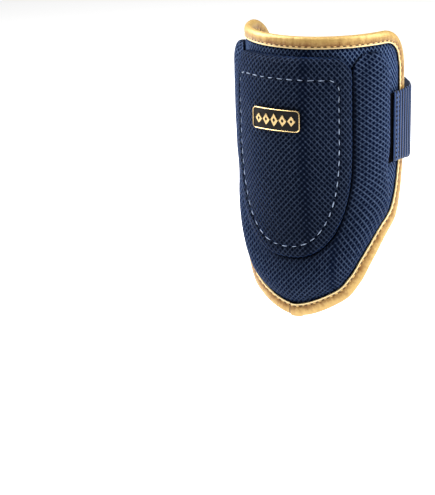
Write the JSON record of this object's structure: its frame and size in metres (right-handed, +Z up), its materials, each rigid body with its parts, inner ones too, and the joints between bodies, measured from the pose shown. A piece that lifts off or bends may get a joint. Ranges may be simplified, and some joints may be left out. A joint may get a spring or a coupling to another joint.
{
  "type": "batter's elbow guard",
  "caption": "Padded elbow guard for a batter: a mesh-covered shell wrapped round the arm, taped edge, stitched front flap, U-shaped side pad and one wide elastic strap.",
  "frame": {"origin": "on the arm's axis inside the guard, level with the middle of the strap", "axes": "+Z up the arm toward the wide end, -Y out through the front flap, +X toward the wing that carries the strap's free end"},
  "size_m": [0.1348, 0.1429, 0.2217],
  "materials": {
    "mesh_cloth": "navy air-mesh cloth over foam",
    "flap_cloth": "navy air-mesh cloth over thick foam, stitched",
    "pad_cloth": "navy air-mesh cloth over moulded foam",
    "gold_tape": "gold coated synthetic leather tape, satin",
    "gold_plate": "polished gold plate with a dark field",
    "hook_tape": "black hook tape",
    "elastic": "blue ribbed elastic"
  },
  "bodies": {
    "root": {"shell": "mesh_cloth", "edge_binding": "gold_tape", "side_pad": "pad_cloth", "front_flap": "flap_cloth", "badge": "gold_plate", "hook_patch": "hook_tape", "strap": "elastic"}
  },
  "joints": []
}
